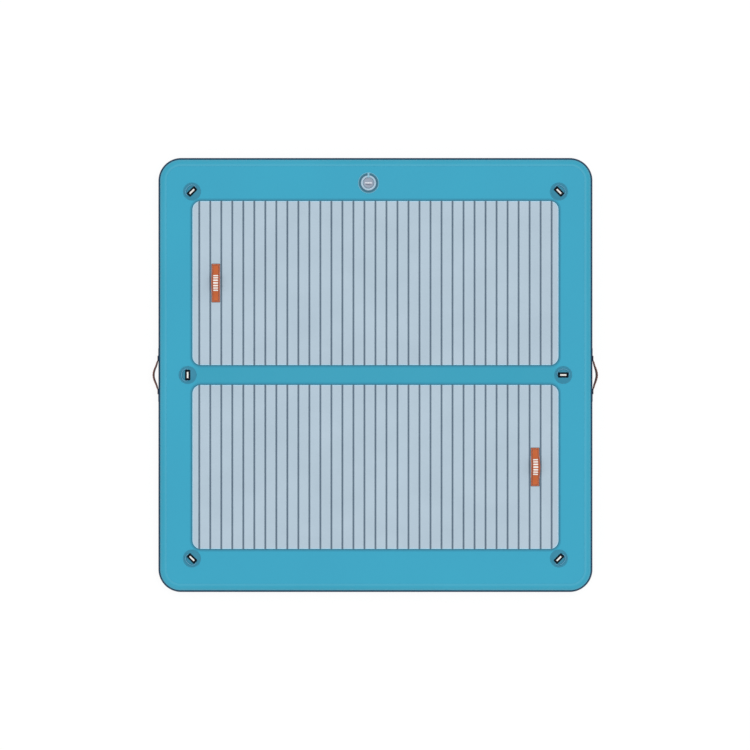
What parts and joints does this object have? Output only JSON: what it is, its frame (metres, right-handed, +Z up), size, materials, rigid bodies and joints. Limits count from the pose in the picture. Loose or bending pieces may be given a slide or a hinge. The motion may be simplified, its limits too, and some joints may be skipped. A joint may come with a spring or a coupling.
{
  "type": "inflatable dock platform",
  "caption": "Square inflatable swim platform: drop-stitch air chamber, two grooved foam deck pads, tie-down rings, carry handles and an inflation valve.",
  "frame": {"origin": "on the ground under the middle of the platform", "axes": "+Z up, +X to the right across the two side handles, +Y to the rear edge with the inflation valve"},
  "size_m": [2.5118, 2.44, 0.193],
  "materials": {
    "pvc_blue": "satin",
    "pvc_navy": "satin",
    "patch_blue": "satin",
    "scrim_white": "matte",
    "eva_pad": "matte",
    "tab_black": "satin",
    "ring_steel": "satin",
    "webbing_charcoal": "matte",
    "cover_orange": "matte",
    "valve_grey": "satin",
    "cap_grey": "satin",
    "rubber_black": "matte",
    "spring_steel": "polished"
  },
  "bodies": {
    "hull": {"hull_top_skin": "pvc_blue", "hull_bottom_skin": "pvc_blue", "hull_side_wall": "pvc_blue", "top_seam_tape": "pvc_blue", "bottom_seam_tape": "pvc_blue", "rub_strip": "pvc_navy", "drop_stitch_core": "scrim_white", "rear_deck_pad": "eva_pad", "front_deck_pad": "eva_pad", "valve_patch": "patch_blue", "valve_gasket": "rubber_black", "valve_body": "valve_grey", "valve_backing_nut": "valve_grey", "valve_guide": "valve_grey", "valve_spring": "spring_steel", "valve_cap_tether": "valve_grey", "rear_left_anchor_patch": "patch_blue", "rear_left_anchor_tab": "tab_black", "rear_right_anchor_patch": "patch_blue", "rear_right_anchor_tab": "tab_black", "front_left_anchor_patch": "patch_blue", "front_left_anchor_tab": "tab_black", "front_right_anchor_patch": "patch_blue", "front_right_anchor_tab": "tab_black", "left_anchor_patch": "patch_blue", "left_anchor_tab": "tab_black", "right_anchor_patch": "patch_blue", "right_anchor_tab": "tab_black", "rear_deck_handle_strap": "webbing_charcoal", "rear_deck_handle_cover": "cover_orange", "rear_deck_handle_patch_a": "pvc_blue", "rear_deck_handle_patch_b": "pvc_blue", "front_deck_handle_strap": "webbing_charcoal", "front_deck_handle_cover": "cover_orange", "front_deck_handle_patch_a": "pvc_blue", "front_deck_handle_patch_b": "pvc_blue", "left_side_handle_strap": "webbing_charcoal", "left_side_handle_cover": "cover_orange", "left_side_handle_patch_a": "pvc_navy", "left_side_handle_patch_b": "pvc_navy", "right_side_handle_strap": "webbing_charcoal", "right_side_handle_cover": "cover_orange", "right_side_handle_patch_a": "pvc_navy", "right_side_handle_patch_b": "pvc_navy"},
    "cap": {"valve_cap": "cap_grey", "valve_cap_seal": "rubber_black"},
    "plunger": {"valve_stem": "valve_grey", "valve_seal_disc": "rubber_black"},
    "rear_left_ring": {"rear_left_anchor_ring": "ring_steel"},
    "rear_right_ring": {"rear_right_anchor_ring": "ring_steel"},
    "front_left_ring": {"front_left_anchor_ring": "ring_steel"},
    "front_right_ring": {"front_right_anchor_ring": "ring_steel"},
    "left_ring": {"left_anchor_ring": "ring_steel"},
    "right_ring": {"right_anchor_ring": "ring_steel"}
  },
  "joints": [
    {"name": "cap_twist", "type": "hinge", "parent": "hull", "child": "cap", "pos_m": [-0.039, 1.0765, 0.158], "axis": [0, 0, 1], "range_deg": [0, 90]},
    {"name": "valve_press", "type": "slide", "parent": "hull", "child": "plunger", "axis": [0, 0, -1], "range_m": [0, 0.005], "stiffness_N_per_m": 700, "springref_m": -0.004, "deforming": ["valve_spring"]},
    {"name": "rear_left_ring_swing", "type": "hinge", "parent": "hull", "child": "rear_left_ring", "pos_m": [-1.0285, 1.0285, 0.1554], "axis": [0.7071, 0.7071, 0], "range_deg": [0, 180]},
    {"name": "rear_right_ring_swing", "type": "hinge", "parent": "hull", "child": "rear_right_ring", "pos_m": [1.0285, 1.0285, 0.1554], "axis": [0.7071, -0.7071, 0], "range_deg": [0, 180]},
    {"name": "front_left_ring_swing", "type": "hinge", "parent": "hull", "child": "front_left_ring", "pos_m": [-1.0285, -1.0285, 0.1554], "axis": [-0.7071, 0.7071, 0], "range_deg": [0, 180]},
    {"name": "front_right_ring_swing", "type": "hinge", "parent": "hull", "child": "front_right_ring", "pos_m": [1.0285, -1.0285, 0.1554], "axis": [-0.7071, -0.7071, 0], "range_deg": [0, 180]},
    {"name": "left_ring_swing", "type": "hinge", "parent": "hull", "child": "left_ring", "pos_m": [-1.0525, 0, 0.1554], "axis": [0, 1, 0], "range_deg": [0, 180]},
    {"name": "right_ring_swing", "type": "hinge", "parent": "hull", "child": "right_ring", "pos_m": [1.0525, 0, 0.1554], "axis": [1, 0, 0], "range_deg": [0, 180]}
  ]
}
